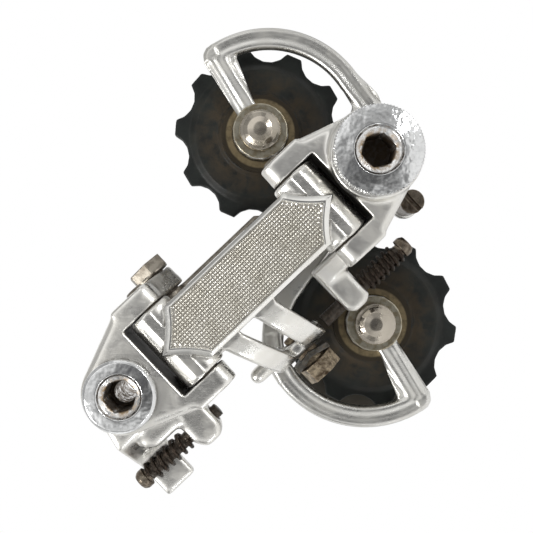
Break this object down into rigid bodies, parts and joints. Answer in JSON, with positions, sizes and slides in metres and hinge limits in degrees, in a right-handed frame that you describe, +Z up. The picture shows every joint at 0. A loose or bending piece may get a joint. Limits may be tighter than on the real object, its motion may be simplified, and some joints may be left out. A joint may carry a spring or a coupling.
{
  "type": "rear bicycle derailleur",
  "caption": "Forged parallelogram rear derailleur: two fork bodies joined by a patterned link plate, limit screws, cable clamp and an S-shaped sprung cage with toothed pulleys.",
  "frame": {"origin": "on the mounting bolt's axis, in the plane of the frame's hanger face that the upper body sits against", "axes": "as on a bicycle: +X forward, +Y inboard towards the wheel along the mounting bolt's thread, +Z up"},
  "size_m": [0.1097, 0.046, 0.0845],
  "materials": {
    "polished_alloy": "polished forged aluminium, fine scratches, grime in the recesses",
    "chrome": "chrome-plated steel with a few rust specks",
    "zinc_steel": "dull zinc-plated steel, greyish brown",
    "rusty_steel": "dark oiled steel with brown rust",
    "spring_steel": "dark spring steel, lightly rusted",
    "bronze": "plain bronze bearing, dull",
    "black_plastic": "worn black moulded plastic with brown dust"
  },
  "bodies": {
    "mounting_bolt": {"mounting_bolt": "chrome", "mounting_bolt_clip": "rusty_steel"},
    "upper_body": {"upper_body": "polished_alloy", "upper_outer_pin": "chrome", "inner_pivot_bolt": "zinc_steel", "low_limit_spring": "spring_steel"},
    "low_limit_screw": {"low_limit_screw": "rusty_steel"},
    "outer_link": {"outer_link": "polished_alloy", "clamp_washer": "rusty_steel", "anchor_bolt": "rusty_steel"},
    "inner_link": {"inner_link": "zinc_steel", "return_spring": "spring_steel"},
    "lower_body": {"lower_body": "polished_alloy", "lower_outer_pin": "chrome", "lower_inner_pin": "chrome", "high_limit_spring": "spring_steel", "pivot_bush": "bronze", "cage_spring": "spring_steel"},
    "high_limit_screw": {"high_limit_screw": "rusty_steel"},
    "cage": {"cage_pivot_bolt": "chrome", "cage_outer_plate": "polished_alloy", "cage_inner_plate": "polished_alloy", "cage_stop_screw": "rusty_steel", "guide_bush": "bronze", "guide_dust_cap_outer": "rusty_steel", "guide_dust_cap_inner": "rusty_steel", "guide_pulley_bolt": "rusty_steel", "guide_washer": "polished_alloy", "guide_cap_nut": "chrome", "tension_bush": "bronze", "tension_dust_cap_outer": "rusty_steel", "tension_dust_cap_inner": "rusty_steel", "tension_pulley_bolt": "rusty_steel", "tension_washer": "polished_alloy", "tension_cap_nut": "chrome"},
    "guide_pulley": {"guide_pulley": "black_plastic"},
    "tension_pulley": {"tension_pulley": "black_plastic"}
  },
  "joints": [
    {"name": "hanger_pivot", "type": "hinge", "parent": "mounting_bolt", "child": "upper_body", "pos_m": [0, 0, 0], "axis": [0, 1, 0], "range_deg": [0, 60]},
    {"name": "shift", "type": "hinge", "parent": "upper_body", "child": "outer_link", "pos_m": [0.0116, -0.0115, -0.0116], "axis": [0.7071, 0, 0.7071], "range_deg": [0, 40], "stiffness_Nm_per_rad": 0.4, "springref_deg": -34.38},
    {"name": "inner_link_swing", "type": "hinge", "parent": "upper_body", "child": "inner_link", "pos_m": [0.01443, -0.002, -0.01443], "axis": [0.7071, 0, 0.7071], "range_deg": [0, 40]},
    {"name": "lower_body_level", "type": "hinge", "parent": "outer_link", "child": "lower_body", "pos_m": [0.03988, -0.0115, -0.03988], "axis": [0.7071, 0, 0.7071], "range_deg": [-40, 0]},
    {"name": "cage_swing", "type": "hinge", "parent": "lower_body", "child": "cage", "pos_m": [0.05148, 0, -0.05148], "axis": [0, -1, 0], "range_deg": [0, 140], "stiffness_Nm_per_rad": 0.08, "springref_deg": -91.67},
    {"name": "guide_pulley_spin", "type": "hinge", "parent": "cage", "child": "guide_pulley", "pos_m": [0.05904, 0.015, -0.02722], "axis": [0, 1, 0], "continuous": true},
    {"name": "tension_pulley_spin", "type": "hinge", "parent": "cage", "child": "tension_pulley", "pos_m": [0.01485, 0.015, -0.05501], "axis": [0, 1, 0], "continuous": true},
    {"name": "low_screw_turn", "type": "hinge", "parent": "upper_body", "child": "low_limit_screw", "pos_m": [-0.01216, 0.0005, -0.01216], "axis": [0.7071, 0, -0.7071], "continuous": true},
    {"name": "high_screw_turn", "type": "hinge", "parent": "lower_body", "child": "high_limit_screw", "pos_m": [0.02885, -0.001, -0.056], "axis": [0.7071, 0, -0.7071], "continuous": true}
  ],
  "couplings": [
    {"joint": "inner_link_swing", "follows": "shift", "ratio": 1},
    {"joint": "lower_body_level", "follows": "shift", "ratio": -1}
  ]
}
